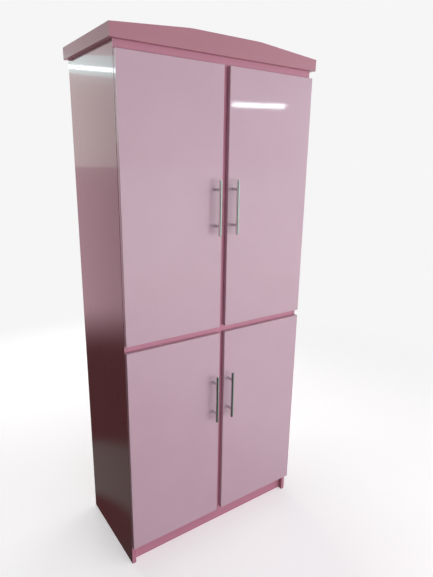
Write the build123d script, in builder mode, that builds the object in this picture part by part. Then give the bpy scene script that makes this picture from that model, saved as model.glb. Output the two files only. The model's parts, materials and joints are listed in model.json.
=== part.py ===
"""Four-door cupboard wardrobe in laminated board, full size, built as flat-pack furniture is built.

Millimetres. +Z is up, the front faces -Y, and X runs from left to right as seen from the front.
The origin is on the floor, in the middle of the width and of the whole depth, handles included.
"""
import os

from build123d import *

# ---------------------------------------------------------------- driving dimensions
WIDTH = 800.0
DEPTH = 400.0
BOARD = 16.0
BACK_THICKNESS = 3.0
SIDE_HEIGHT = 1896.0
EDGE_ROUND = 0.6
ALONG_X = (0, 90, 0)         # rotations that lay a cylinder along X or along Y
ALONG_Y = (90, 0, 0)

PLINTH_HEIGHT = 82.0
PLINTH_RECESS = 20.0
SHELF_TOP = 912.0            # top of the fixed shelf between the two pairs of doors
TOP_PANEL_TOP = 1872.0
TOP_RAIL_BOTTOM = 1832.0
MIDDLE_RAIL_HEIGHT = 40.0    # face rail in front of the fixed shelf
STILE_WIDTH = 40.0           # face stiles in front of the dividers

DOOR_STAND_OFF = 2.0         # air between the carcass front and the back of a door
DOOR_ROUND = 1.5
LOWER_DOOR_TOP = 895.0
UPPER_DOOR_BOTTOM = 920.0
UPPER_DOOR_TOP = 1845.0
LOWER_DOOR_GAP = 22.0        # between the two doors of a pair
UPPER_DOOR_GAP = 25.0

CORNICE_BOTTOM = 1872.0
CORNICE_END_TOP = 1912.0
CORNICE_MIDDLE_TOP = 1935.0
CORNICE_LEVEL_HALF = 140.0   # half the length of the level middle of the cornice
CORNICE_KNEE_ROUND = 400.0
CORNICE_ROUND = 1.0

HANDLE_LENGTH = 194.0
HANDLE_RADIUS = 6.0
HANDLE_SPACING = 128.0
HANDLE_STAND = 32.0          # from the door face to the middle of the bar
HANDLE_END_ROUND = 0.8
HANDLE_POST_RADIUS = 5.0
HANDLE_INSET = {-1: 30.0, 1: 21.0}    # from the free edge of a left and of a right door
UPPER_HANDLE_HEIGHT = 1375.0
LOWER_HANDLE_HEIGHT = 633.0
HANDLE_SCREW_RADIUS = 2.0
HANDLE_SCREW_HEAD = 4.5
HANDLE_SCREW_HEAD_HEIGHT = 2.2
HANDLE_SCREW_BITE = 12.0     # length of the screw inside the post

# Concealed hinge. U is measured inwards from the outer face of the side panel and
# V backwards from the carcass front, so both pins are placed once for all four doors.
HINGE_INSET = 90.0           # from the top and bottom edges of a door
ARM_PIN = (26.5, 3.0)
CUP_PIN = (9.5, -7.5)
LINK_BENDS = ((17.0, -11.6), (24.0, -4.6))
LINK_THICKNESS = 1.8
LINK_WIDTH = 9.0
LINK_EYE_RADIUS = 2.5
PIN_RADIUS = 1.5
PIN_PLAY = 0.1
CUP_CENTRE = 21.0
CUP_RADIUS = 17.5
CUP_DEPTH = 12.5
CUP_WALL = 0.9
CHEEK_WIDTH = 7.6            # upright cheeks in the cup that carry the cup pin
CHEEK_THICKNESS = 1.4
CHEEK_SHIFT = 0.6
CHEEK_ABOVE_PIN = 2.8
FLANGE_THICKNESS = 0.8
FLANGE_RADIUS = 19.0
WING_WIDTH = 14.0
WING_HEIGHT = 60.0
WING_SHIFT = 6.0             # wings sit further from the door edge than the cup
WING_ROUND = 3.0
ARM_BASE = 19.0
ARM_TOP = 29.5
ARM_NOSE = 0.5
ARM_END = 60.0
ARM_HALF_WIDTH = 6.6
ARM_WALL = 1.3
ARM_OPEN_NOSE = 9.0
ARM_ROUND = 2.0
PLATE_SCREW_SPREAD = 32.0
PLATE_SCREW_V = 37.0
PLATE_SCREW_RADIUS = 1.8
PLATE_SCREW_LENGTH = 12.0
PLATE_SCREW_HEAD = 3.6
PLATE_THICKNESS = 2.0
PLATE_WING_WIDTH = 12.0
PLATE_WING_HEIGHT = 46.0
PLATE_LENGTH = 38.0          # front to back
PLATE_ROUND = 1.5

CAM_POSITIONS = (60.0, 340.0)
CAM_REACH = 24.0             # from the end of a board to the middle of its cam lock
CAM_RADIUS = 7.5
CAM_HEIGHT = 12.5
CAM_SLOT = 1.8               # width and depth of the screwdriver cross
CAM_SLOT_LENGTH = 9.0
BOLT_BORE_RADIUS = 4.0
BOLT_THREAD_RADIUS = 3.5     # threaded end, screwed into the side panel
BOLT_THREAD_LENGTH = 10.0
BOLT_SHANK_RADIUS = 2.4
BOLT_HEAD_RADIUS = 3.4
BOLT_HEAD_LENGTH = 3.0
BOLT_TIP_PLAY = 4.0          # from the shank's tip to the bottom of its bore
DOWEL_RADIUS = 4.0
DOWEL_LENGTH = 30.0
DOWEL_BITE = 9.0             # length of a dowel in the face of a board
PLINTH_DOWEL_HEIGHTS = (26.0, 58.0)
TOP_RAIL_DOWEL_HEIGHTS = (1850.0, 1882.0)
RAIL_DOWEL_INSET = 10.0      # from the upper and lower edges of the middle rail
LEVEL_DOWEL_V = (100.0, 300.0)
DIVIDER_DOWEL_V = {"above_shelf": (80.0, 320.0), "below_shelf": (120.0, 280.0)}
NAIL_RADIUS = 0.9
NAIL_LENGTH = 20.0
NAIL_HEAD_RADIUS = 2.2
NAIL_HEAD_HEIGHT = 0.6
NAIL_SIDE_START = 130
NAIL_SIDE_STEP = 144
DIVIDER_NAIL_HEIGHTS = (300, 500, 700, 1100, 1350, 1600)
END_NAIL_X = (-280, -100, 100, 280)
SEAM_UPPER_NAIL_X = (-300, -120, 120, 300)
SEAM_LOWER_NAIL_X = (-240, -60, 60, 240)
SEAM_NAIL_OFFSET = 4.0
BACK_SETBACK = 2.0           # from the outer faces of the side panels
BACK_SEAM_GAP = 1.0
BACK_ROUND = 0.3

SHELF_SETBACK = 20.0
SHELF_PLAY = 1.0
SHELF_PIN_RADIUS = 2.5
SHELF_PIN_BITE = 7.0
SHELF_PIN_LENGTH = 15.0
SHELF_PIN_V = (60.0, 340.0)
SHELF_BACK_PLAY = 2.0
UPPER_SHELF_HEIGHT = 1376.0  # underside, right-hand bay
LOWER_SHELF_HEIGHT = 489.0

RAIL_RADIUS = 12.5
RAIL_WALL = 1.5
RAIL_HEIGHT = 1786.0
RAIL_V = 198.0
SOCKET_RADIUS = 17.0
SOCKET_BASE = 3.0
SOCKET_LENGTH = 14.0
SOCKET_ROUND = 1.0

BUMPER_RADIUS = 4.0
BUMPER_THICKNESS = 1.7
BUMPER_U = 350.0
BUMPER_ABOVE_RAIL_BOTTOM = 6.5
CORNICE_SCREW_RADIUS = 2.0
CORNICE_SCREW_LENGTH = 28.0
CORNICE_SCREW_HEAD = 4.0
CORNICE_SCREW_HEAD_HEIGHT = 2.4
CORNICE_SCREW_DROP = 10.0    # below the tops of the side panels
CORNICE_FRONT_SCREW_X = (-300, -100, 100, 300)
CORNICE_SIDE_SCREW_V = (90, 310)

# ---------------------------------------------------------------- derived places
HALF = WIDTH / 2
DOOR_THICKNESS = BOARD
DOOR_FACE = -(DOOR_STAND_OFF + DOOR_THICKNESS)
HANDLE_REACH = HANDLE_STAND + HANDLE_RADIUS
FRONT = -(DEPTH + DOOR_FACE - HANDLE_REACH) / 2     # Y of the carcass front
CARCASS_DEPTH = DEPTH - BACK_THICKNESS
INSIDE = HALF - BOARD
DIVIDER_HALF = BOARD / 2
BOTTOM_TOP = PLINTH_HEIGHT + BOARD
SHELF_BOTTOM = SHELF_TOP - BOARD
TOP_PANEL_BOTTOM = TOP_PANEL_TOP - BOARD
SHELF_MIDDLE = SHELF_TOP - BOARD / 2
MIDDLE_RAIL = (SHELF_MIDDLE - MIDDLE_RAIL_HEIGHT / 2, SHELF_MIDDLE + MIDDLE_RAIL_HEIGHT / 2)
CORNICE_SCREW_Z = SIDE_HEIGHT - CORNICE_SCREW_DROP
DOORS = {
    "upper_left": (-1, UPPER_DOOR_BOTTOM, UPPER_DOOR_TOP, UPPER_DOOR_GAP, UPPER_HANDLE_HEIGHT),
    "upper_right": (1, UPPER_DOOR_BOTTOM, UPPER_DOOR_TOP, UPPER_DOOR_GAP, UPPER_HANDLE_HEIGHT),
    "lower_left": (-1, PLINTH_HEIGHT, LOWER_DOOR_TOP, LOWER_DOOR_GAP, LOWER_HANDLE_HEIGHT),
    "lower_right": (1, PLINTH_HEIGHT, LOWER_DOOR_TOP, LOWER_DOOR_GAP, LOWER_HANDLE_HEIGHT),
}


def hinge_heights(bottom, top):
    """Heights of the two hinges of a door."""
    return (bottom + HINGE_INSET, top - HINGE_INSET)


ALL_HINGE_HEIGHTS = (
    *hinge_heights(PLINTH_HEIGHT, LOWER_DOOR_TOP),
    *hinge_heights(UPPER_DOOR_BOTTOM, UPPER_DOOR_TOP),
)


def place(side, u, v, z):
    """A point U in from the outer face of one side, V behind the carcass front, at height Z."""
    return (side * (HALF - u), FRONT + v, z)


def save(piece, name):
    """Label a finished piece and write its STEP file."""
    piece.part.label = name
    export_step(piece.part, f"parts/{name}.step")


def slab(x, v, z):
    """Add a box to the part being built, between limits in X, V and Z."""
    middle = ((x[0] + x[1]) / 2, FRONT + (v[0] + v[1]) / 2)
    with BuildSketch(Plane.XY.offset(z[0])) as outline:
        with Locations(middle):
            Rectangle(x[1] - x[0], v[1] - v[0])
    extrude(outline.sketch, amount=z[1] - z[0])


def board(name, x, v, z, fittings=(), rounding=EDGE_ROUND):
    """A board with eased edges, bored for every fitting that enters it, written as one node."""
    with BuildPart() as panel:
        slab(x, v, z)
        fillet(panel.edges(), radius=rounding)
        for fitting in fittings:
            add(fitting.part, mode=Mode.SUBTRACT)
    save(panel, name)


os.makedirs("parts", exist_ok=True)

# ---------------------------------------------------------------- fittings that boards are bored for
cam_boards = (TOP_PANEL_BOTTOM, SHELF_BOTTOM, PLINTH_HEIGHT)     # undersides of the boards held by cams
cam_places = [(v, z) for z in cam_boards for v in CAM_POSITIONS]

with BuildPart() as bolt_bores:
    with Locations(*[place(-1, BOARD + CAM_REACH / 2, v, z + BOARD / 2) for v, z in cam_places]):
        Cylinder(BOLT_BORE_RADIUS, CAM_REACH, rotation=ALONG_X)
    mirror(about=Plane.YZ)

with BuildPart() as cam_bolts:
    shank_length = CAM_REACH - BOLT_TIP_PLAY
    for v, z in cam_places:
        mid = z + BOARD / 2
        with Locations(place(-1, BOARD - BOLT_THREAD_LENGTH / 2, v, mid)):
            Cylinder(BOLT_THREAD_RADIUS, BOLT_THREAD_LENGTH, rotation=ALONG_X)
        with Locations(place(-1, BOARD + shank_length / 2, v, mid)):
            Cylinder(BOLT_SHANK_RADIUS, shank_length, rotation=ALONG_X)
        with Locations(place(-1, BOARD + CAM_REACH - BOLT_HEAD_LENGTH, v, mid)):
            Cylinder(BOLT_HEAD_RADIUS, BOLT_HEAD_LENGTH, rotation=ALONG_X)
    mirror(about=Plane.YZ)
save(cam_bolts, "cam_bolts")

with BuildPart() as cam_bores:
    with Locations(*[place(-1, BOARD + CAM_REACH, v, z + CAM_HEIGHT / 2) for v, z in cam_places]):
        Cylinder(CAM_RADIUS, CAM_HEIGHT)
    mirror(about=Plane.YZ)

with BuildPart() as cam_locks:
    add(cam_bores.part)
    for side in (-1, 1):
        with Locations(*[place(side, BOARD + CAM_REACH, v, z + CAM_SLOT / 2) for v, z in cam_places]):
            Box(CAM_SLOT_LENGTH, CAM_SLOT, CAM_SLOT, mode=Mode.SUBTRACT)
            Box(CAM_SLOT, CAM_SLOT_LENGTH, CAM_SLOT, mode=Mode.SUBTRACT)
    add(bolt_bores.part, mode=Mode.SUBTRACT)
save(cam_locks, "cam_locks")

side_dowels = [
    *[(BOARD / 2, z) for z in TOP_RAIL_DOWEL_HEIGHTS],
    *[(BOARD / 2, z) for z in (MIDDLE_RAIL[0] + RAIL_DOWEL_INSET, MIDDLE_RAIL[1] - RAIL_DOWEL_INSET)],
    *[(PLINTH_RECESS + BOARD / 2, z) for z in PLINTH_DOWEL_HEIGHTS],
    *[(CARCASS_DEPTH - BOARD / 2, z) for z in PLINTH_DOWEL_HEIGHTS],
    *[(v, z + BOARD / 2) for z in cam_boards for v in LEVEL_DOWEL_V],
]
upright_rise = DOWEL_LENGTH / 2 - DOWEL_BITE     # from a board's face to the middle of its dowel
end_dowels = [
    *[(v, SHELF_TOP + upright_rise) for v in DIVIDER_DOWEL_V["above_shelf"]],
    *[(v, TOP_PANEL_BOTTOM - upright_rise) for v in DIVIDER_DOWEL_V["above_shelf"]],
    *[(v, BOTTOM_TOP + upright_rise) for v in DIVIDER_DOWEL_V["below_shelf"]],
    *[(v, SHELF_BOTTOM - upright_rise) for v in DIVIDER_DOWEL_V["below_shelf"]],
    *[(BOARD / 2, face + upright_rise) for face in (BOTTOM_TOP, MIDDLE_RAIL[1])],
    *[(BOARD / 2, face - upright_rise) for face in (MIDDLE_RAIL[0], TOP_RAIL_BOTTOM)],
]
with BuildPart() as dowels:
    dowel_middle = BOARD - DOWEL_BITE + DOWEL_LENGTH / 2
    with Locations(*[place(-1, dowel_middle, v, z) for v, z in side_dowels]):
        Cylinder(DOWEL_RADIUS, DOWEL_LENGTH, rotation=ALONG_X)
    mirror(about=Plane.YZ)
    with Locations(*[(0, FRONT + v, z) for v, z in end_dowels]):
        Cylinder(DOWEL_RADIUS, DOWEL_LENGTH)
save(dowels, "dowels")

side_nail_heights = range(NAIL_SIDE_START, int(TOP_PANEL_TOP), NAIL_SIDE_STEP)
nail_places = [
    *[(side * (HALF - BOARD / 2), z) for side in (-1, 1) for z in side_nail_heights],
    *[(0, z) for z in DIVIDER_NAIL_HEIGHTS],
    *[(x, z) for x in END_NAIL_X for z in (PLINTH_HEIGHT + BOARD / 2, TOP_PANEL_TOP - BOARD / 2)],
    *[(x, SHELF_MIDDLE + SEAM_NAIL_OFFSET) for x in SEAM_UPPER_NAIL_X],
    *[(x, SHELF_MIDDLE - SEAM_NAIL_OFFSET) for x in SEAM_LOWER_NAIL_X],
]
with BuildPart() as back_nails:
    with Locations(*[(x, FRONT + DEPTH - NAIL_LENGTH / 2, z) for x, z in nail_places]):
        Cylinder(NAIL_RADIUS, NAIL_LENGTH, rotation=ALONG_Y)
    with Locations(*[(x, FRONT + DEPTH - NAIL_HEAD_HEIGHT / 2, z) for x, z in nail_places]):
        Cylinder(NAIL_HEAD_RADIUS, NAIL_HEAD_HEIGHT, rotation=ALONG_Y)
save(back_nails, "back_nails")

divider_face = HALF - DIVIDER_HALF
pin_out = SHELF_PIN_LENGTH / 2 - SHELF_PIN_BITE
shelf_rows = [(1, UPPER_SHELF_HEIGHT), (-1, LOWER_SHELF_HEIGHT), (1, LOWER_SHELF_HEIGHT)]
with BuildPart() as shelf_pins:
    for side, underside in shelf_rows:
        height = underside - SHELF_PIN_RADIUS
        for v in SHELF_PIN_V:
            for u in (BOARD + pin_out, divider_face - pin_out):
                with Locations(place(side, u, v, height)):
                    Cylinder(SHELF_PIN_RADIUS, SHELF_PIN_LENGTH, rotation=ALONG_X)
save(shelf_pins, "shelf_pins")

cornice_front_screws = [(x, CORNICE_SCREW_Z) for x in CORNICE_FRONT_SCREW_X]
cornice_side_screws = [(v, CORNICE_SCREW_Z) for v in CORNICE_SIDE_SCREW_V]
plate_screw_places = [
    (PLATE_SCREW_V, z + offset)
    for z in ALL_HINGE_HEIGHTS
    for offset in (-PLATE_SCREW_SPREAD / 2, PLATE_SCREW_SPREAD / 2)
]
head_middle = BOARD + PLATE_THICKNESS / 2
shank_middle = head_middle - PLATE_SCREW_LENGTH / 2
with BuildPart() as wood_screws:
    with Locations(*[place(-1, shank_middle, v, z) for v, z in plate_screw_places]):
        Cylinder(PLATE_SCREW_RADIUS, PLATE_SCREW_LENGTH, rotation=ALONG_X)
    with Locations(*[place(-1, head_middle, v, z) for v, z in plate_screw_places]):
        Cone(PLATE_SCREW_RADIUS, PLATE_SCREW_HEAD, PLATE_THICKNESS, rotation=ALONG_X)
    with Locations(*[place(-1, BOARD - CORNICE_SCREW_LENGTH / 2, v, z) for v, z in cornice_side_screws]):
        Cylinder(CORNICE_SCREW_RADIUS, CORNICE_SCREW_LENGTH, rotation=ALONG_X)
    with Locations(*[place(-1, BOARD + CORNICE_SCREW_HEAD_HEIGHT / 2, v, z) for v, z in cornice_side_screws]):
        Cylinder(CORNICE_SCREW_HEAD, CORNICE_SCREW_HEAD_HEIGHT, rotation=ALONG_X)
    mirror(about=Plane.YZ)
    head_y = FRONT + BOARD
    with Locations(*[(x, head_y - CORNICE_SCREW_LENGTH / 2, z) for x, z in cornice_front_screws]):
        Cylinder(CORNICE_SCREW_RADIUS, CORNICE_SCREW_LENGTH, rotation=ALONG_Y)
    with Locations(*[(x, head_y + CORNICE_SCREW_HEAD_HEIGHT / 2, z) for x, z in cornice_front_screws]):
        Cylinder(CORNICE_SCREW_HEAD, CORNICE_SCREW_HEAD_HEIGHT, rotation=ALONG_Y)
save(wood_screws, "wood_screws")

with BuildPart() as hinge_plates:
    for z in ALL_HINGE_HEIGHTS:
        with Locations(place(-1, BOARD + PLATE_THICKNESS / 2, PLATE_SCREW_V, z)):
            Box(PLATE_THICKNESS, PLATE_WING_WIDTH, PLATE_WING_HEIGHT)
        with Locations(place(-1, (BOARD + ARM_BASE) / 2, PLATE_SCREW_V, z)):
            Box(ARM_BASE - BOARD, PLATE_LENGTH, 2 * ARM_HALF_WIDTH)
    fillet(hinge_plates.edges().filter_by(Axis.X), radius=PLATE_ROUND)
    mirror(about=Plane.YZ)
    add(wood_screws.part, mode=Mode.SUBTRACT)
save(hinge_plates, "hinge_plates")

with BuildPart() as hinge_arm_pins:
    with Locations(*[place(-1, *ARM_PIN, z) for z in ALL_HINGE_HEIGHTS]):
        Cylinder(PIN_RADIUS, 2 * ARM_HALF_WIDTH)
    mirror(about=Plane.YZ)
save(hinge_arm_pins, "hinge_arm_pins")

with BuildPart() as hinge_arms:
    arm_length = ARM_END - ARM_NOSE
    arm_rise = ARM_TOP - ARM_BASE
    inner_width = 2 * (ARM_HALF_WIDTH - ARM_WALL)
    for z in ALL_HINGE_HEIGHTS:
        with Locations(place(-1, (ARM_BASE + ARM_TOP) / 2, (ARM_NOSE + ARM_END) / 2, z)):
            Box(arm_rise, arm_length, 2 * ARM_HALF_WIDTH)
    fillet(hinge_arms.edges().filter_by(Axis.Z), radius=ARM_ROUND)
    for z in ALL_HINGE_HEIGHTS:
        with Locations(place(-1, (ARM_BASE + ARM_TOP - ARM_WALL) / 2, (ARM_NOSE + ARM_END) / 2, z)):
            Box(arm_rise - ARM_WALL, arm_length, inner_width, mode=Mode.SUBTRACT)
        with Locations(place(-1, (ARM_BASE + ARM_TOP) / 2, ARM_OPEN_NOSE / 2, z)):
            Box(arm_rise, ARM_OPEN_NOSE, inner_width, mode=Mode.SUBTRACT)
    mirror(about=Plane.YZ)
    add(hinge_arm_pins.part, mode=Mode.SUBTRACT)
save(hinge_arms, "hinge_arms")

socket_places = ((-INSIDE, 1), (-DIVIDER_HALF, -1))      # X of the face and the way it looks
with BuildPart() as hanging_rail:
    rail_ends = (-INSIDE + SOCKET_BASE, -DIVIDER_HALF - SOCKET_BASE)
    rail_length = rail_ends[1] - rail_ends[0]
    with Locations((sum(rail_ends) / 2, FRONT + RAIL_V, RAIL_HEIGHT)):
        Cylinder(RAIL_RADIUS, rail_length, rotation=ALONG_X)
        Cylinder(RAIL_RADIUS - RAIL_WALL, rail_length, rotation=ALONG_X, mode=Mode.SUBTRACT)
save(hanging_rail, "hanging_rail")

with BuildPart() as rail_sockets:
    for face, way in socket_places:
        with Locations((face + way * SOCKET_LENGTH / 2, FRONT + RAIL_V, RAIL_HEIGHT)):
            Cylinder(SOCKET_RADIUS, SOCKET_LENGTH, rotation=ALONG_X)
    fillet(rail_sockets.edges().filter_by(GeomType.CIRCLE), radius=SOCKET_ROUND)
    for face, way in socket_places:
        with Locations((face + way * (SOCKET_LENGTH + SOCKET_BASE) / 2, FRONT + RAIL_V, RAIL_HEIGHT)):
            Cylinder(RAIL_RADIUS, SOCKET_LENGTH - SOCKET_BASE, rotation=ALONG_X, mode=Mode.SUBTRACT)
save(rail_sockets, "rail_sockets")

with BuildPart() as door_bumpers:
    bumper_heights = (TOP_RAIL_BOTTOM + BUMPER_ABOVE_RAIL_BOTTOM, PLINTH_HEIGHT + BOARD / 2)
    for side in (-1, 1):
        with Locations(*[place(side, BUMPER_U, -BUMPER_THICKNESS / 2, z) for z in bumper_heights]):
            Cylinder(BUMPER_RADIUS, BUMPER_THICKNESS, rotation=ALONG_Y)
save(door_bumpers, "door_bumpers")

# ---------------------------------------------------------------- carcass boards
side_fittings = (cam_bolts, dowels, back_nails, shelf_pins, wood_screws)
board("left_side_panel", (-HALF, -INSIDE), (0, CARCASS_DEPTH), (0, SIDE_HEIGHT), side_fittings)
board("right_side_panel", (INSIDE, HALF), (0, CARCASS_DEPTH), (0, SIDE_HEIGHT), side_fittings)

across = (-INSIDE, INSIDE)
level_fittings = (bolt_bores, cam_bores, dowels, back_nails)
board("top_panel", across, (BOARD, CARCASS_DEPTH), (TOP_PANEL_BOTTOM, TOP_PANEL_TOP), level_fittings)
board("middle_shelf", across, (BOARD, CARCASS_DEPTH), (SHELF_BOTTOM, SHELF_TOP), level_fittings)
board("bottom_panel", across, (0, CARCASS_DEPTH), (PLINTH_HEIGHT, BOTTOM_TOP), level_fittings)
board("top_rail", across, (0, BOARD), (TOP_RAIL_BOTTOM, SIDE_HEIGHT), (dowels, wood_screws))
board("middle_rail", across, (0, BOARD), MIDDLE_RAIL, (dowels,))
board("front_plinth", across, (PLINTH_RECESS, PLINTH_RECESS + BOARD), (0, PLINTH_HEIGHT), (dowels,))
board("rear_plinth", across, (CARCASS_DEPTH - BOARD, CARCASS_DEPTH), (0, PLINTH_HEIGHT), (dowels,))

divider_x = (-DIVIDER_HALF, DIVIDER_HALF)
divider_v = (BOARD, CARCASS_DEPTH)
divider_fittings = (dowels, back_nails, shelf_pins)
board("upper_divider", divider_x, divider_v, (SHELF_TOP, TOP_PANEL_BOTTOM), divider_fittings)
board("lower_divider", divider_x, divider_v, (BOTTOM_TOP, SHELF_BOTTOM), divider_fittings)

stile_x = (-STILE_WIDTH / 2, STILE_WIDTH / 2)
with BuildPart() as centre_stiles:
    slab(stile_x, (0, BOARD), (BOTTOM_TOP, MIDDLE_RAIL[0]))
    slab(stile_x, (0, BOARD), (MIDDLE_RAIL[1], TOP_RAIL_BOTTOM))
    fillet(centre_stiles.edges(), radius=EDGE_ROUND)
    add(dowels.part, mode=Mode.SUBTRACT)
save(centre_stiles, "centre_stiles")

back_x = (-HALF + BACK_SETBACK, HALF - BACK_SETBACK)
back_v = (CARCASS_DEPTH, DEPTH)
seam = (SHELF_MIDDLE - BACK_SEAM_GAP / 2, SHELF_MIDDLE + BACK_SEAM_GAP / 2)
board("upper_back_panel", back_x, back_v, (seam[1], TOP_PANEL_TOP), (back_nails,), BACK_ROUND)
board("lower_back_panel", back_x, back_v, (PLINTH_HEIGHT, seam[0]), (back_nails,), BACK_ROUND)

# ---------------------------------------------------------------- adjustable shelves
shelf_v = (SHELF_SETBACK, CARCASS_DEPTH - SHELF_BACK_PLAY)
shelf_x = {
    side: tuple(sorted((side * (DIVIDER_HALF + SHELF_PLAY), side * (INSIDE - SHELF_PLAY))))
    for side in (-1, 1)
}
shelf_nodes = ("upper_right_shelf", "lower_left_shelf", "lower_right_shelf")
for name, (side, underside) in zip(shelf_nodes, shelf_rows):
    board(name, shelf_x[side], shelf_v, (underside, underside + BOARD))

# ---------------------------------------------------------------- cornice
CORNICE_OUT = HALF + BOARD
mitre_planes = {
    side: Plane(origin=(side * HALF, FRONT, 0), x_dir=(0, 0, 1), z_dir=(side, 1, 0)) for side in (-1, 1)
}
with BuildPart() as cornice_front:
    with BuildSketch(Plane.XZ.offset(-FRONT)):
        with BuildLine():
            knee_left = (-CORNICE_LEVEL_HALF, CORNICE_MIDDLE_TOP)
            knee_right = (CORNICE_LEVEL_HALF, CORNICE_MIDDLE_TOP)
            foot_left = (-CORNICE_OUT, CORNICE_BOTTOM)
            foot_right = (CORNICE_OUT, CORNICE_BOTTOM)
            FilletPolyline(
                (-CORNICE_OUT, CORNICE_END_TOP),
                knee_left,
                knee_right,
                (CORNICE_OUT, CORNICE_END_TOP),
                radius=CORNICE_KNEE_ROUND,
            )
            Polyline((CORNICE_OUT, CORNICE_END_TOP), foot_right, foot_left, (-CORNICE_OUT, CORNICE_END_TOP))
        make_face()
    extrude(amount=BOARD)
    fillet(cornice_front.edges(), radius=CORNICE_ROUND)
    for side in (-1, 1):
        split(bisect_by=mitre_planes[side], keep=Keep.BOTTOM)
    add(wood_screws.part, mode=Mode.SUBTRACT)
save(cornice_front, "cornice_front")

for side, name in ((-1, "cornice_left"), (1, "cornice_right")):
    with BuildPart() as cornice_return:
        limits = tuple(sorted((side * HALF, side * CORNICE_OUT)))
        slab(limits, (-BOARD, DEPTH), (CORNICE_BOTTOM, CORNICE_END_TOP))
        fillet(cornice_return.edges(), radius=CORNICE_ROUND)
        split(bisect_by=mitre_planes[side], keep=Keep.TOP)
        add(wood_screws.part, mode=Mode.SUBTRACT)
    save(cornice_return, name)

# ---------------------------------------------------------------- doors, handles and hinges
for row, (side, bottom, top, gap, handle_height) in DOORS.items():
    door_width = (WIDTH - gap) / 2
    heights = hinge_heights(bottom, top)
    handle_u = door_width - HANDLE_INSET[side]
    post_heights = [handle_height - HANDLE_SPACING / 2, handle_height + HANDLE_SPACING / 2]
    cup_places = [place(side, CUP_CENTRE, -DOOR_STAND_OFF - CUP_DEPTH / 2, z) for z in heights]

    with BuildPart() as hinge_pins:
        with Locations(*[place(side, *CUP_PIN, z) for z in heights]):
            Cylinder(PIN_RADIUS, 2 * ARM_HALF_WIDTH + 1)
    save(hinge_pins, f"{row}_hinge_pins")

    with BuildPart() as hinge_cups:
        flange_middle = -DOOR_STAND_OFF + FLANGE_THICKNESS / 2
        with Locations(*cup_places):
            Cylinder(CUP_RADIUS, CUP_DEPTH, rotation=ALONG_Y)
        with Locations(*[place(side, CUP_CENTRE, flange_middle, z) for z in heights]):
            Cylinder(FLANGE_RADIUS, FLANGE_THICKNESS, rotation=ALONG_Y)
        with Locations(*[place(side, CUP_CENTRE + WING_SHIFT, flange_middle, z) for z in heights]):
            Box(WING_WIDTH, FLANGE_THICKNESS, WING_HEIGHT)
        fillet(hinge_cups.edges().filter_by(Axis.Y), radius=WING_ROUND)
        inner_depth = CUP_DEPTH - CUP_WALL + FLANGE_THICKNESS
        inner_middle = FLANGE_THICKNESS - DOOR_STAND_OFF - inner_depth / 2
        with Locations(*[place(side, CUP_CENTRE, inner_middle, z) for z in heights]):
            Cylinder(CUP_RADIUS - CUP_WALL, inner_depth, rotation=ALONG_Y, mode=Mode.SUBTRACT)
        cheek_floor = -DOOR_STAND_OFF - CUP_DEPTH + CUP_WALL / 2
        cheek_top = CUP_PIN[1] + CHEEK_ABOVE_PIN
        cheek_middle = (cheek_floor + cheek_top) / 2
        for z in heights:
            for offset in (-ARM_HALF_WIDTH, ARM_HALF_WIDTH):
                with Locations(place(side, CUP_PIN[0] - CHEEK_SHIFT, cheek_middle, z + offset)):
                    Box(CHEEK_WIDTH, cheek_top - cheek_floor, CHEEK_THICKNESS)
        add(hinge_pins.part, mode=Mode.SUBTRACT)
    save(hinge_cups, f"{row}_hinge_cups")

    with BuildPart() as hinge_links:
        for z in heights:
            path = [place(side, *point, 0)[:2] for point in (CUP_PIN, *LINK_BENDS, ARM_PIN)]
            with BuildSketch(Plane.XY.offset(z - LINK_WIDTH / 2)):
                with BuildLine():
                    Polyline(*path)
                trace(line_width=LINK_THICKNESS)
                with Locations(path[0], path[-1]):
                    Circle(LINK_EYE_RADIUS)
                    Circle(PIN_RADIUS + PIN_PLAY, mode=Mode.SUBTRACT)
            extrude(amount=LINK_WIDTH)
    save(hinge_links, f"{row}_hinge_links")

    with BuildPart() as handle_screws:
        shank = DOOR_THICKNESS + HANDLE_SCREW_BITE
        with Locations(*[place(side, handle_u, -DOOR_STAND_OFF - shank / 2, z) for z in post_heights]):
            Cylinder(HANDLE_SCREW_RADIUS, shank, rotation=ALONG_Y)
        pan_middle = -DOOR_STAND_OFF + HANDLE_SCREW_HEAD_HEIGHT / 2
        with Locations(*[place(side, handle_u, pan_middle, z) for z in post_heights]):
            Cylinder(HANDLE_SCREW_HEAD, HANDLE_SCREW_HEAD_HEIGHT, rotation=ALONG_Y)
    save(handle_screws, f"{row}_handle_screws")

    with BuildPart() as handle_bar:
        with Locations(place(side, handle_u, DOOR_FACE - HANDLE_STAND, handle_height)):
            Cylinder(HANDLE_RADIUS, HANDLE_LENGTH)
        fillet(handle_bar.edges().filter_by(GeomType.CIRCLE), radius=HANDLE_END_ROUND)
    save(handle_bar, f"{row}_handle_bar")

    with BuildPart() as handle_posts:
        with Locations(*[place(side, handle_u, DOOR_FACE - HANDLE_STAND / 2, z) for z in post_heights]):
            Cylinder(HANDLE_POST_RADIUS, HANDLE_STAND, rotation=ALONG_Y)
        add(handle_bar.part, mode=Mode.SUBTRACT)
        add(handle_screws.part, mode=Mode.SUBTRACT)
    save(handle_posts, f"{row}_handle_posts")

    door_x = tuple(sorted((side * HALF, side * (HALF - door_width))))
    with BuildPart() as door:
        slab(door_x, (DOOR_FACE, -DOOR_STAND_OFF), (bottom, top))
        fillet(door.edges(), radius=DOOR_ROUND)
        with Locations(*cup_places):
            Cylinder(CUP_RADIUS, CUP_DEPTH, rotation=ALONG_Y, mode=Mode.SUBTRACT)
        add(handle_screws.part, mode=Mode.SUBTRACT)
    save(door, f"{row}_door")
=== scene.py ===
"""Looks of the four-door cupboard wardrobe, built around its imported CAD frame.

Lengths are in metres, +Z is up and the doors face -Y.
"""
import json
import math

import bmesh
import bpy
from mathutils import Matrix, Vector


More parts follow.
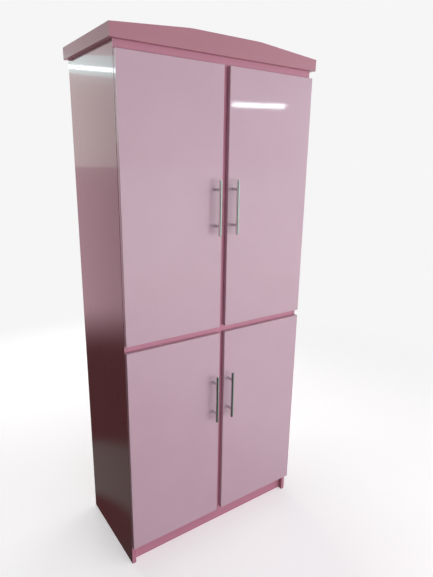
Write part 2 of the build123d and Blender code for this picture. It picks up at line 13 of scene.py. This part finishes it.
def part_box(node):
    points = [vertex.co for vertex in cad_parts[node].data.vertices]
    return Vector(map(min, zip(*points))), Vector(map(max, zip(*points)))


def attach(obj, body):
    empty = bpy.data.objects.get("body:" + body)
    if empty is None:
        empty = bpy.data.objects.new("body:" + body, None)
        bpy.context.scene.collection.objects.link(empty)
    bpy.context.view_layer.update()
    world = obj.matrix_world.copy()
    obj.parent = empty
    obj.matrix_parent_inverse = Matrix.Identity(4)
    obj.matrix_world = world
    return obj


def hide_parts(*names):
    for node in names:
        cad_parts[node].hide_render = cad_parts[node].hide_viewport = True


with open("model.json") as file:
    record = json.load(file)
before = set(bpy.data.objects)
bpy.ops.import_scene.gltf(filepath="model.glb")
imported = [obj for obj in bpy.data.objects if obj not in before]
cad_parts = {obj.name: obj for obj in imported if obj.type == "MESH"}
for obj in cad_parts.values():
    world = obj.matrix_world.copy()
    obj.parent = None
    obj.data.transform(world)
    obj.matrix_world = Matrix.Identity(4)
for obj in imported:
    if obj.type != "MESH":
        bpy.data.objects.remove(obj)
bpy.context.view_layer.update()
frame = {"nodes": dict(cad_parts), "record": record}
NODES = frame["nodes"]
ROWS = ("upper_left", "upper_right", "lower_left", "lower_right")

left_low, left_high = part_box("left_side_panel")
right_low, right_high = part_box("right_side_panel")
CARCASS_LEFT, CARCASS_RIGHT = left_low.x, right_high.x
CARCASS_FRONT = left_low.y
SIDE_TOP = left_high.z

# ---------------------------------------------------------------- camera
CAMERA_FROM_CORNER = Vector((-0.5900, -1.3892, 1.5329))    # from the front left foot of the carcass
CAMERA_YAW = 0.6101            # from +Y towards +X
CAMERA_PITCH = -0.2664
CAMERA_ROLL = 0.0162
CAMERA_LENS = 28.96            # on a 36 mm long side


def aim_camera():
    """The standing viewer's camera, in front and to the left, looking a little down."""
    forward = Vector((
        math.sin(CAMERA_YAW) * math.cos(CAMERA_PITCH),
        math.cos(CAMERA_YAW) * math.cos(CAMERA_PITCH),
        math.sin(CAMERA_PITCH),
    ))
    level = Vector((math.cos(CAMERA_YAW), -math.sin(CAMERA_YAW), 0))
    upright = level.cross(forward)
    right = math.cos(CAMERA_ROLL) * level + math.sin(CAMERA_ROLL) * upright
    up = math.cos(CAMERA_ROLL) * upright - math.sin(CAMERA_ROLL) * level
    data = bpy.data.cameras.new("view_camera")
    data.lens = CAMERA_LENS
    data.sensor_width = 36
    data.clip_start, data.clip_end = 0.05, 200
    camera = bpy.data.objects.new("view_camera", data)
    bpy.context.scene.collection.objects.link(camera)
    turn = Matrix((right, up, -forward)).transposed().to_4x4()
    corner = Vector((CARCASS_LEFT, CARCASS_FRONT, 0))
    camera.matrix_world = Matrix.Translation(corner + CAMERA_FROM_CORNER) @ turn
    bpy.context.scene.camera = camera


aim_camera()

# ---------------------------------------------------------------- node material helpers
NOISE_LOW, NOISE_HIGH = 0.3, 0.7   # range that nearly all of a fractal noise falls in


class Shader:
    """A node material being put together, with short ways to add and join nodes."""

    def __init__(self, name):
        self.material = bpy.data.materials.new(name)
        self.material.use_nodes = True
        self.nodes = self.material.node_tree.nodes
        self.links = self.material.node_tree.links
        self.surface = self.nodes["Principled BSDF"]
        self.place = self.nodes.new("ShaderNodeTexCoord").outputs["Object"]

    def set(self, **values):
        """Set uniform values straight on the shader's own sockets."""
        for name, value in values.items():
            self.surface.inputs[name.replace("_", " ")].default_value = value

    def stretched(self, scale):
        """Object coordinates scaled differently along each axis."""
        mapping = self.nodes.new("ShaderNodeMapping")
        mapping.inputs["Scale"].default_value = scale
        self.links.new(self.place, mapping.inputs["Vector"])
        return mapping.outputs["Vector"]

    def noise(self, scale, detail=3.0, rough=0.5, at=None):
        """Fractal noise, with features about 1/scale metres across."""
        node = self.nodes.new("ShaderNodeTexNoise")
        node.inputs["Scale"].default_value = scale
        node.inputs["Detail"].default_value = detail
        node.inputs["Roughness"].default_value = rough
        self.links.new(at or self.place, node.inputs["Vector"])
        return node.outputs["Fac"]

    def blotches(self, fac, dark, light):
        """Colour that runs from dark to light over the usual range of a noise."""
        ramp = self.nodes.new("ShaderNodeValToRGB")
        ramp.color_ramp.elements[0].position = NOISE_LOW
        ramp.color_ramp.elements[1].position = NOISE_HIGH
        ramp.color_ramp.elements[0].color = (*dark, 1)
        ramp.color_ramp.elements[1].color = (*light, 1)
        self.links.new(fac, ramp.inputs["Fac"])
        return ramp.outputs["Color"]

    def between(self, fac, low, high):
        """A noise turned into a value from low to high."""
        node = self.nodes.new("ShaderNodeMapRange")
        node.inputs["From Min"].default_value = NOISE_LOW
        node.inputs["From Max"].default_value = NOISE_HIGH
        node.inputs["To Min"].default_value = low
        node.inputs["To Max"].default_value = high
        self.links.new(fac, node.inputs["Value"])
        return node.outputs["Result"]

    def mixed(self, fac, first, second):
        """Colour first where fac is 0 and second where it is 1."""
        node = self.nodes.new("ShaderNodeMix")
        node.data_type = "RGBA"
        self.links.new(fac, node.inputs["Factor"])
        self.links.new(first, node.inputs["A"])
        self.links.new(second, node.inputs["B"])
        return node.outputs["Result"]

    def part_of(self, vector, axis):
        """One component of a vector."""
        split = self.nodes.new("ShaderNodeSeparateXYZ")
        self.links.new(vector, split.inputs["Vector"])
        return split.outputs[axis]

    def maths(self, operation, first, second):
        """Two values joined by an operation; the second may be a plain number."""
        node = self.nodes.new("ShaderNodeMath")
        node.operation = operation
        self.links.new(first, node.inputs[0])
        if isinstance(second, float):
            node.inputs[1].default_value = second
        else:
            self.links.new(second, node.inputs[1])
        return node.outputs["Value"]

    def facing(self, axis):
        """1 where the surface looks along +axis, else 0."""
        normal = self.nodes.new("ShaderNodeTexCoord").outputs["Normal"]
        return self.maths("GREATER_THAN", self.part_of(normal, axis), 0.5)

    def facing_out(self):
        """1 where the surface looks sideways away from the middle of the wardrobe, else 0."""
        normal = self.nodes.new("ShaderNodeTexCoord").outputs["Normal"]
        outward = self.maths("MULTIPLY", self.part_of(normal, "X"), self.part_of(self.place, "X"))
        return self.maths("GREATER_THAN", outward, CARCASS_RIGHT / 2)

    def colour(self, source):
        """Feed the base colour."""
        self.links.new(source, self.surface.inputs["Base Color"])

    def rough(self, source):
        """Feed the roughness."""
        self.links.new(source, self.surface.inputs["Roughness"])

    def bump(self, height, distance, strength=1.0):
        """Surface relief, distance metres deep."""
        node = self.nodes.new("ShaderNodeBump")
        node.inputs["Distance"].default_value = distance
        node.inputs["Strength"].default_value = strength
        self.links.new(height, node.inputs["Height"])
        self.links.new(node.outputs["Normal"], self.surface.inputs["Normal"])


def shade(colour, factor):
    """A colour made darker or lighter."""
    return tuple(min(1.0, c * factor) for c in colour)


MOTTLE_SCALE = 7.0                 # features per metre, in the colour of the boards
GLOSS_SCALE = 4.0                  # in their roughness
PEEL_SCALE = 22.0                  # in the ripple of their coat
COAT_ROUGHNESS = 0.05
GLOSS_SPREAD = 0.06                # part by which the roughness varies


def laminate(name, colour, roughness, coat, edge=None, spread=0.02, peel=0.00003):
    """Board faced with coloured film: nearly even colour, faint mottle, soft ripple under a coat.

    With an edge colour, only the outer face, away from the middle, has the first one.
    """
    s = Shader(name)
    mottle = s.noise(MOTTLE_SCALE, 4.0, 0.6)
    face = s.blotches(mottle, shade(colour, 1 - spread), shade(colour, 1 + spread))
    if edge:
        band = s.blotches(mottle, shade(edge, 1 - spread), shade(edge, 1 + spread))
        face = s.mixed(s.facing_out(), band, face)
    s.colour(face)
    low, high = roughness * (1 - GLOSS_SPREAD), roughness * (1 + GLOSS_SPREAD)
    s.rough(s.between(s.noise(GLOSS_SCALE, 2.0), low, high))
    s.bump(s.noise(PEEL_SCALE, 1.0, 0.3), peel)
    s.set(Coat_Weight=coat, Coat_Roughness=COAT_ROUGHNESS, IOR=1.5)
    return s.material


def steel(name, colour, roughness, grain, depth=0.00001):
    """Metal brushed along the direction in which grain is small."""
    s = Shader(name)
    lines = s.noise(1.0, 4.0, 0.7, s.stretched(grain))
    s.colour(s.blotches(lines, shade(colour, 0.86), shade(colour, 1.08)))
    s.rough(s.between(lines, roughness * 0.8, roughness * 1.3))
    s.bump(lines, depth)
    s.set(Metallic=1.0)
    return s.material


def hardboard():
    """Pressed brown fibre on the wall side and a pink paper face on the inside."""
    s = Shader("hardboard")
    fibre = s.noise(420.0, 6.0, 0.75, s.stretched((1, 1, 0.35)))
    brown = s.blotches(fibre, (0.16, 0.085, 0.045), (0.34, 0.20, 0.115))
    pink = s.blotches(s.noise(MOTTLE_SCALE), shade(PINK_CARCASS, 0.97), shade(PINK_CARCASS, 1.03))
    s.colour(s.mixed(s.facing("Y"), pink, brown))
    s.rough(s.between(fibre, 0.55, 0.8))
    s.bump(fibre, 0.00008)
    return s.material


def beech():
    """Straight-grained turned dowel."""
    s = Shader("beech")
    grain = s.noise(1.0, 5.0, 0.6, s.stretched((25, 600, 600)))
    s.colour(s.blotches(grain, (0.42, 0.26, 0.14), (0.66, 0.47, 0.29)))
    s.rough(s.between(grain, 0.5, 0.7))
    s.bump(grain, 0.00005)
    return s.material


def clear_rubber():
    """Soft clear bumper, slightly cloudy."""
    s = Shader("clear_rubber")
    cloud = s.noise(300.0)
    s.colour(s.blotches(cloud, (0.72, 0.70, 0.70), (0.86, 0.85, 0.85)))
    s.rough(s.between(cloud, 0.2, 0.35))
    s.set(Transmission_Weight=0.55, IOR=1.45)
    return s.material


PINK_DOOR = (0.57, 0.40, 0.475)
PINK_SIDE = (0.27, 0.095, 0.115)
PINK_TRIM = (0.46, 0.205, 0.260)
PINK_CARCASS = (0.52, 0.224, 0.306)

MATERIALS = {
    "door_gloss": laminate("door_gloss", PINK_DOOR, 0.40, 1.0),
    "side_gloss": laminate("side_gloss", PINK_SIDE, 0.22, 1.0, PINK_CARCASS),
    "cornice_laminate": laminate("cornice_laminate", PINK_TRIM, 0.36, 0.35),
    "carcass_laminate": laminate("carcass_laminate", PINK_CARCASS, 0.40, 0.3),
    "shelf_laminate": laminate("shelf_laminate", shade(PINK_CARCASS, 1.05), 0.42, 0.2),
    "back_board": hardboard(),
    "handle_steel": steel("handle_steel", (0.66, 0.70, 0.68), 0.13, (900, 900, 40), 0.000004),
    "zinc_screw": steel("zinc_screw", (0.58, 0.60, 0.62), 0.32, (500, 500, 500)),
    "hinge_nickel": steel("hinge_nickel", (0.72, 0.70, 0.67), 0.24, (60, 700, 700)),
    "hinge_pin": steel("hinge_pin", (0.50, 0.50, 0.50), 0.25, (700, 700, 60)),
    "cam_zinc": steel("cam_zinc", (0.48, 0.48, 0.49), 0.42, (400, 400, 400), 0.00004),
    "beech": beech(),
    "rail_chrome": steel("rail_chrome", (0.78, 0.78, 0.79), 0.10, (30, 500, 500), 0.000003),
    "socket_zinc": steel("socket_zinc", (0.60, 0.59, 0.57), 0.30, (500, 500, 500)),
    "bumper": clear_rubber(),
}
SLOT_OF = {part["node"]: part["material_slot"] for part in frame["record"]["subparts"]}


def smooth(obj, angle=40):
    """Smooth shading that keeps the sharp edges sharp."""
    obj.data.polygons.foreach_set("use_smooth", [True] * len(obj.data.polygons))
    obj.data.set_sharp_from_angle(angle=math.radians(angle))


for name, node in NODES.items():
    node.data.materials.clear()
    node.data.materials.append(MATERIALS[SLOT_OF[name]])


# ---------------------------------------------------------------- small metalwork and bumpers
# Profiles are pairs of radius and height, as parts of the piece's radius and height.
ROUND_STEPS = 24
SCREW_CROSS = (0.46, 0.13)         # reach and half width of the cross, as parts of the head's radius
SCREW_CROSS_DEPTH = 0.7            # as a part of the head's height
PAN_HEAD = ((1.0, 0.0), (1.0, 0.42), (0.93, 0.72), (0.78, 0.92), (0.6, 1.0))
FLAT_HEAD = ((0.6, -0.5), (1.0, 0.0), (1.0, 0.35), (0.92, 0.85), (0.75, 1.0))
CROSS_TAPER = 0.72                 # size of the cross at its floor, as a part of its size at the top
TIP_PART = 0.2                     # radius of a screw's tip, as a part of its shank's radius
BUMPER_DOME = ((1.0, 0.0), (1.0, 0.25), (0.94, 0.55), (0.78, 0.82), (0.52, 0.96), (0.2, 1.0))


def ring(mesh, radius, height):
    """A circle of vertices about the local Z axis."""
    angles = [2 * math.pi * step / ROUND_STEPS for step in range(ROUND_STEPS)]
    return [mesh.verts.new((radius * math.cos(a), radius * math.sin(a), height)) for a in angles]


def skin(mesh, loops):
    """Join loops of the same number of vertices, one after another, with faces."""
    for lower, upper in zip(loops, loops[1:]):
        for here in range(len(lower)):
            after = (here + 1) % len(lower)
            mesh.faces.new((lower[here], lower[after], upper[after], upper[here]))


def cross_outline(mesh, radius, height, taper=1.0):
    """The twelve corners of a screwdriver cross."""
    reach, half = (part * radius * taper for part in SCREW_CROSS)
    quarter = [(reach, -half), (reach, half), (half, half)]
    corners = []
    for turn in range(4):
        for x, y in quarter:
            for _ in range(turn):
                x, y = -y, x
            corners.append(mesh.verts.new((x, y, height)))
    return corners


def loop_edges(mesh, loop):
    """The edges round a closed loop of vertices, made where they are missing."""
    pairs = zip(loop, loop[1:] + loop[:1])
    return [mesh.edges.get(pair) or mesh.edges.new(pair) for pair in pairs]


def screw(head, radius, height, shank_radius, length):
    """One cross-head screw, standing on its shank, with the underside of its head at zero."""
    mesh = bmesh.new()
    outline = [ring(mesh, radius * part, height * rise) for part, rise in head]
    tip = ring(mesh, shank_radius * TIP_PART, -length)
    shoulder = ring(mesh, shank_radius, -length + 2 * shank_radius)
    neck = ring(mesh, shank_radius, height * head[0][1])
    skin(mesh, [tip, shoulder, neck, *outline])
    mesh.faces.new(tip[::-1])
    cross = cross_outline(mesh, radius, height)
    floor = cross_outline(mesh, radius, height * (1 - SCREW_CROSS_DEPTH), CROSS_TAPER)
    rim = loop_edges(mesh, outline[-1]) + loop_edges(mesh, cross)
    bmesh.ops.triangle_fill(mesh, use_beauty=True, edges=rim)
    skin(mesh, [cross, floor])
    mesh.faces.new(floor)
    return mesh


def dome(radius, height):
    """A soft stick-on bumper with a rounded top."""
    mesh = bmesh.new()
    rings = [ring(mesh, radius * part, height * rise) for part, rise in BUMPER_DOME]
    skin(mesh, rings)
    mesh.faces.new(rings[0][::-1])
    mesh.faces.new(rings[-1])
    return mesh


def scatter(name, pattern, places, body, slot, replaced=None):
    """Copies of a pattern at (place, way) pairs, as one piece that rides on a body."""
    whole = bmesh.new()
    for at, way in places:
        copy = bpy.data.meshes.new(name)
        pattern.to_mesh(copy)
        turn = Vector(way).to_track_quat("Z", "Y").to_matrix().to_4x4()
        copy.transform(Matrix.Translation(at) @ turn)
        whole.from_mesh(copy)
        bpy.data.meshes.remove(copy)
    bmesh.ops.recalc_face_normals(whole, faces=whole.faces)
    mesh = bpy.data.meshes.new(name)
    whole.to_mesh(mesh)
    whole.free()
    pattern.free()
    piece = bpy.data.objects.new(name, mesh)
    bpy.context.scene.collection.objects.link(piece)
    mesh.materials.append(MATERIALS[slot])
    smooth(piece)
    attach(piece, body)
    if replaced:
        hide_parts(replaced)


INWARDS = (0, 1, 0)                # the way the back of a shut door looks
WING_HALF_HEIGHT = 0.030
CUP_SCREW_RISE = 0.024             # from the middle of a hinge cup to its screws
CUP_SCREW_INSET = 0.027            # from the outer edge of the door
HEAD_SINK = 0.0001                 # heads are bedded this far, so that no gap shows
ARM_SCREW_BACK = (0.030, 0.050)    # behind the carcass front
PLATE_SCREW_BACK = 0.037
PLATE_SCREW_RISE = 0.016
PLATE_FACE = 0.018                 # from the outer face of the side panel
ARM_FACE = 0.0295
CORNICE_SCREW_X = (-0.300, -0.100, 0.100, 0.300)
CORNICE_SCREW_BACK = (0.090, 0.310)
CORNICE_SCREW_DROP = 0.010
BOARD = left_high.x - left_low.x
BUMPER_RADIUS = 0.004
# Profile of the head, its radius and height, and the radius and length of the shank.
CUP_SCREW = (FLAT_HEAD, 0.0034, 0.0009, 0.0012, 0.010)
HANDLE_SCREW = (PAN_HEAD, 0.0045, 0.0022, 0.0020, 0.028)
ARM_SCREW = (PAN_HEAD, 0.0029, 0.0010, 0.0012, 0.004)
CORNICE_SCREW = (PAN_HEAD, 0.0040, 0.0024, 0.0020, 0.028)
PLATE_SCREW = (FLAT_HEAD, 0.0036, 0.0007, 0.0018, 0.013)


def hinge_heights(row):
    """Heights of the two hinges of a door, from the ends of its cup wings."""
    wings_low, wings_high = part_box(f"{row}_hinge_cups")
    return wings_low.z + WING_HALF_HEIGHT, wings_high.z - WING_HALF_HEIGHT


plate_screws = []
arm_screws = []
for row in ROWS:
    side = -1 if row.endswith("left") else 1
    outer_x = CARCASS_LEFT if side < 0 else CARCASS_RIGHT
    flange_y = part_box(f"{row}_hinge_cups")[1].y
    cup_screws = []
    for z in hinge_heights(row):
        for rise in (-CUP_SCREW_RISE, CUP_SCREW_RISE):
            at = (outer_x - side * CUP_SCREW_INSET, flange_y - HEAD_SINK, z + rise)
            cup_screws.append((at, INWARDS))
        for rise in (-PLATE_SCREW_RISE, PLATE_SCREW_RISE):
            at = (outer_x - side * PLATE_FACE, CARCASS_FRONT + PLATE_SCREW_BACK, z + rise)
            plate_screws.append((at, (-side, 0, 0)))
        for back in ARM_SCREW_BACK:
            at = (outer_x - side * (ARM_FACE - HEAD_SINK), CARCASS_FRONT + back, z)
            arm_screws.append((at, (-side, 0, 0)))
    scatter(f"{row}_cup_screws", screw(*CUP_SCREW), cup_screws, f"{row}_door_set", "zinc_screw")

    posts_low, posts_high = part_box(f"{row}_handle_posts")
    post_radius = (posts_high.x - posts_low.x) / 2
    door_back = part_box(f"{row}_door")[1].y
    handle_x = posts_low.x + post_radius
    handle_screws = [
        ((handle_x, door_back, z), INWARDS)
        for z in (posts_low.z + post_radius, posts_high.z - post_radius)
    ]
    scatter(
        f"{row}_handle_pan_screws", screw(*HANDLE_SCREW), handle_screws,
        f"{row}_door_set", "zinc_screw", f"{row}_handle_screws",
    )

scatter("hinge_adjusting_screws", screw(*ARM_SCREW), arm_screws, "carcass", "zinc_screw")

screw_height = SIDE_TOP - CORNICE_SCREW_DROP
cornice_screws = [((x, CARCASS_FRONT + BOARD, screw_height), INWARDS) for x in CORNICE_SCREW_X]
for side, face in ((-1, left_high.x), (1, right_low.x)):
    for back in CORNICE_SCREW_BACK:
        cornice_screws.append(((face, CARCASS_FRONT + back, screw_height), (-side, 0, 0)))
scatter(
    "cornice_pan_screws", screw(*CORNICE_SCREW), cornice_screws,
    "carcass", "zinc_screw", "wood_screws",
)
scatter(
    "plate_flat_screws", screw(*PLATE_SCREW), plate_screws,
    "carcass", "zinc_screw", "wood_screws",
)

bumper_low, bumper_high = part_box("door_bumpers")
bumper_thickness = bumper_high.y - bumper_low.y
bumper_places = [
    ((x, bumper_high.y, z), (0, -1, 0))
    for x in (bumper_low.x + BUMPER_RADIUS, bumper_high.x - BUMPER_RADIUS)
    for z in (bumper_low.z + BUMPER_RADIUS, bumper_high.z - BUMPER_RADIUS)
]
scatter(
    "soft_bumpers", dome(BUMPER_RADIUS, bumper_thickness), bumper_places,
    "carcass", "bumper", "door_bumpers",
)

# ---------------------------------------------------------------- floor and light
FLOOR_HALF = 100.0
FLOOR_EMISSION = 0.45
# Where fades start and end. On the floor, in metres from the middle or along a way.
SURROUND_FADE = (1.2, 3.0)
FOOT_FADE_IN = (0.48, 0.56)
FOOT_FADE_OUT = (0.84, 0.98)
FAR_FADE = (2.15, 3.6)
RIGHT_FAR_FADE = (2.0, 6.0)
LEFT_FLOOR_FADE = (-0.2, 0.4)
RIGHT_FLOOR_FADE = (0.2, 1.0)
# In the surround, as the cosine of the angle to a way.
ROOM_FADE = (0.0, 0.8)
RIGHT_GLOW_FADE = (0.86, 0.95)
SIDE_GLOW_FADE = (0.86, 0.985)
# Colours of the floor and the surround, and the ways in which they change.
FLOOR_SEEN = (0.80, 0.80, 0.80)
SURROUND_SEEN = (0.92, 0.92, 0.92)
FLOOR_NEAR = (0.095, 0.035, 0.035)
FLOOR_AT_FOOT = (0.16, 0.145, 0.135)
FLOOR_FAR = (0.90, 0.57, 0.66)
FLOOR_LEFT_WAY = (-0.5, 0.87, 0)
FLOOR_RIGHT_NEAR = (0.44, 0.50, 0.47)
FLOOR_RIGHT_FAR = (0.78, 0.88, 0.83)
FLOOR_RIGHT_WAY = (0.97, -0.25, 0)
FLOOR_IN_FRONT = (0.06, 0.065, 0.06)
ROOM_BEHIND = (0.13, 0.115, 0.12)
ROOM_FRONT = (0.62, 0.60, 0.62)
ROOM_FRONT_WAY = (0.8, -0.8, 0.3)
SIDE_GLOW = (1.25, 1.02, 1.03)
SIDE_GLOW_WAY = (-0.35, 0.93, 0.10)
RIGHT_GLOW = (2.4, 2.6, 2.6)
RIGHT_GLOW_WAY = (0.98, -0.30, 0.05)
TUBE_WHITE = (0.86, 1.0, 1.0)
HALO_CYAN = (0.45, 1.0, 1.0)


def area_light(name, at, toward, size, watts, colour, mirrored=False):
    """A soft rectangular lamp that lights the object but isn't seen itself, unless it is mirrored."""
    data = bpy.data.lights.new(name, "AREA")
    data.shape = "RECTANGLE"
    data.size, data.size_y = size
    data.energy = watts
    data.color = colour
    lamp = bpy.data.objects.new(name, data)
    lamp.location = at
    lamp.rotation_mode = "QUATERNION"
    lamp.rotation_quaternion = (Vector(toward) - Vector(at)).to_track_quat("-Z", "Y")
    lamp.visible_camera = False
    lamp.visible_glossy = mirrored
    bpy.context.scene.collection.objects.link(lamp)
    return lamp


def tube_light(name, start, end, toward, thickness, watts, colour):
    """A fluorescent tube between two points, seen as a bright streak in the gloss boards."""
    start, end = Vector(start), Vector(end)
    middle = (start + end) / 2
    lamp = area_light(name, middle, toward, ((end - start).length, thickness), watts, colour, True)
    along = (end - start).normalized()
    away = middle - Vector(toward)
    away = (away - away.dot(along) * along).normalized()
    turn = Matrix((along, away.cross(along), away)).transposed()
    lamp.rotation_quaternion = turn.to_quaternion()


def ray_kind(tree, kind, otherwise, when):
    """One shader for rays of a kind, such as Is Camera Ray, and another for the rest."""
    path = tree.nodes.new("ShaderNodeLightPath")
    mix = tree.nodes.new("ShaderNodeMixShader")
    tree.links.new(path.outputs[kind], mix.inputs["Fac"])
    tree.links.new(otherwise, mix.inputs[1])
    tree.links.new(when, mix.inputs[2])
    return mix.outputs["Shader"]


def fade(tree, value, start, end, low, high):
    """Colour that turns smoothly from low to high as value goes from start to end."""
    span = tree.nodes.new("ShaderNodeMapRange")
    span.interpolation_type = "SMOOTHSTEP"
    span.inputs["From Min"].default_value = start
    span.inputs["From Max"].default_value = end
    mix = tree.nodes.new("ShaderNodeMix")
    mix.data_type = "RGBA"
    for socket, colour in (("A", low), ("B", high)):
        if isinstance(colour, tuple):
            mix.inputs[socket].default_value = (*colour, 1)
        else:
            tree.links.new(colour, mix.inputs[socket])
    tree.links.new(value, span.inputs["Value"])
    tree.links.new(span.outputs["Result"], mix.inputs["Factor"])
    return mix.outputs["Result"]


def dot_with(tree, vector, way):
    """How far a vector reaches along a given way."""
    dot = tree.nodes.new("ShaderNodeVectorMath")
    dot.operation = "DOT_PRODUCT"
    dot.inputs[1].default_value = Vector(way).normalized()
    tree.links.new(vector, dot.inputs[0])
    return dot.outputs["Value"]


def glow(tree, colour, kind="ShaderNodeEmission"):
    """An evenly glowing shader of a colour, given as a value or as a socket."""
    node = tree.nodes.new(kind)
    if isinstance(colour, tuple):
        node.inputs["Color"].default_value = (*colour, 1)
    else:
        tree.links.new(colour, node.inputs["Color"])
    return node.outputs[0]


def pale_floor():
    """A plain pale studio floor.

    The gloss boards mirror another one: dark at the front, grey to the right, and on the left
    dark with a paler patch at the foot and light pink far off.
    """
    mesh = bpy.data.meshes.new("studio_floor")
    signs = ((-1, -1), (1, -1), (1, 1), (-1, 1))
    corners = [(FLOOR_HALF * across, FLOOR_HALF * along, 0) for across, along in signs]
    mesh.from_pydata(corners, [], [(0, 1, 2, 3)])
    floor = bpy.data.objects.new("studio_floor", mesh)
    bpy.context.scene.collection.objects.link(floor)
    s = Shader("studio_floor")
    tree = s.material.node_tree
    s.colour(s.blotches(s.noise(1.5), FLOOR_SEEN, shade(FLOOR_SEEN, 1.02)))
    s.set(Roughness=0.8, Specular_IOR_Level=0.1)
    s.set(Emission_Color=(*FLOOR_SEEN, 1), Emission_Strength=FLOOR_EMISSION)
    reach = tree.nodes.new("ShaderNodeVectorMath")
    reach.operation = "LENGTH"
    tree.links.new(s.place, reach.inputs[0])
    distance = reach.outputs["Value"]
    horizon = tree.nodes.new("ShaderNodeMixShader")
    tree.links.new(fade(tree, distance, *SURROUND_FADE, (0, 0, 0), (1, 1, 1)), horizon.inputs["Fac"])
    tree.links.new(s.surface.outputs["BSDF"], horizon.inputs[1])
    tree.links.new(glow(tree, SURROUND_SEEN), horizon.inputs[2])
    foot = fade(tree, distance, *FOOT_FADE_IN, FLOOR_NEAR, FLOOR_AT_FOOT)
    left = fade(tree, distance, *FOOT_FADE_OUT, foot, FLOOR_NEAR)
    left = fade(tree, distance, *FAR_FADE, left, FLOOR_FAR)
    right = fade(tree, distance, *RIGHT_FAR_FADE, FLOOR_RIGHT_NEAR, FLOOR_RIGHT_FAR)
    leftward = dot_with(tree, s.place, FLOOR_LEFT_WAY)
    rightward = dot_with(tree, s.place, FLOOR_RIGHT_WAY)
    around = fade(tree, leftward, *LEFT_FLOOR_FADE, FLOOR_IN_FRONT, left)
    around = fade(tree, rightward, *RIGHT_FLOOR_FADE, around, right)
    mirrored = glow(tree, around)
    lit = ray_kind(tree, "Is Glossy Ray", glow(tree, FLOOR_NEAR), mirrored)
    shown = ray_kind(tree, "Is Camera Ray", lit, horizon.outputs["Shader"])
    tree.links.new(shown, tree.nodes["Material Output"].inputs["Surface"])
    mesh.materials.append(s.material)


def studio_world():
    """A plain pale surround, brighter in front of the doors and beyond the left-hand side."""
    world = bpy.data.worlds.new("studio")
    bpy.context.scene.world = world
    world.use_nodes = True
    tree = world.node_tree
    direction = tree.nodes.new("ShaderNodeTexCoord").outputs["Generated"]

    frontward = dot_with(tree, direction, ROOM_FRONT_WAY)
    rightward = dot_with(tree, direction, RIGHT_GLOW_WAY)
    sideward = dot_with(tree, direction, SIDE_GLOW_WAY)
    room = fade(tree, frontward, *ROOM_FADE, ROOM_BEHIND, ROOM_FRONT)
    to_the_right = fade(tree, rightward, *RIGHT_GLOW_FADE, room, RIGHT_GLOW)
    mirrored = fade(tree, sideward, *SIDE_GLOW_FADE, to_the_right, SIDE_GLOW)
    seen = glow(tree, SURROUND_SEEN, "ShaderNodeBackground")
    soft = glow(tree, room, "ShaderNodeBackground")
    lit = ray_kind(tree, "Is Glossy Ray", soft, glow(tree, mirrored, "ShaderNodeBackground"))
    shown = ray_kind(tree, "Is Camera Ray", lit, seen)
    tree.links.new(shown, tree.nodes["World Output"].inputs["Surface"])


pale_floor()
studio_world()

# Name, place, the point that it is aimed at, width and height, watts and colour.
SOFT_LAMPS = (
    ("window_right", (2.9, -3.1, 1.0), (0, -0.2, 0.7), (4.6, 2.2), 74, (1.0, 0.98, 1.0)),
    ("front_key", (0.3, -3.3, 0.9), (0, -0.2, 0.6), (2.8, 1.6), 47, (1.0, 0.98, 1.0)),
    ("side_fill", (-2.6, 0.4, 2.5), (-0.4, 0.0, 1.7), (1.2, 0.6), 2, (1, 1, 1)),
    ("back_fill", (0, 3.4, 1.5), (0, 0.2, 1.0), (2.6, 1.8), 60, (1, 1, 1)),
    ("top_fill", (0, 0.5, 3.3), (0, 0.1, 1.9), (1.2, 0.6), 22, (1, 1, 1)),
)
for lamp in SOFT_LAMPS:
    area_light(*lamp)
corner = area_light(
    "corner_left", (-2.4, 0.1, 2.05), (-0.4, -0.18, 1.75), (2.6, 0.8), 60, TUBE_WHITE, True
)
corner.visible_diffuse = False

FRONT_AIM = (0.14, -0.19, 1.73)
SIDE_AIM = (-0.4, 0.04, 1.80)
# Name, one end, the other end, the point that it is aimed at, thickness, watts and colour.
TUBES = (
    ("tube_front", (1.724, -2.5, 2.045), (2.381, -2.5, 2.076), FRONT_AIM, 0.040, 1.6, TUBE_WHITE),
    ("tube_side", (-2.0, 3.30, 2.425), (-2.0, 5.30, 2.756), SIDE_AIM, 0.042, 1.6, TUBE_WHITE),
    ("tube_side_halo", (-2.02, 3.30, 2.46), (-2.02, 5.30, 2.79), SIDE_AIM, 0.22, 1.3, HALO_CYAN),
)
for tube in TUBES:
    tube_light(*tube)

bpy.context.scene.view_settings.view_transform = "Standard"
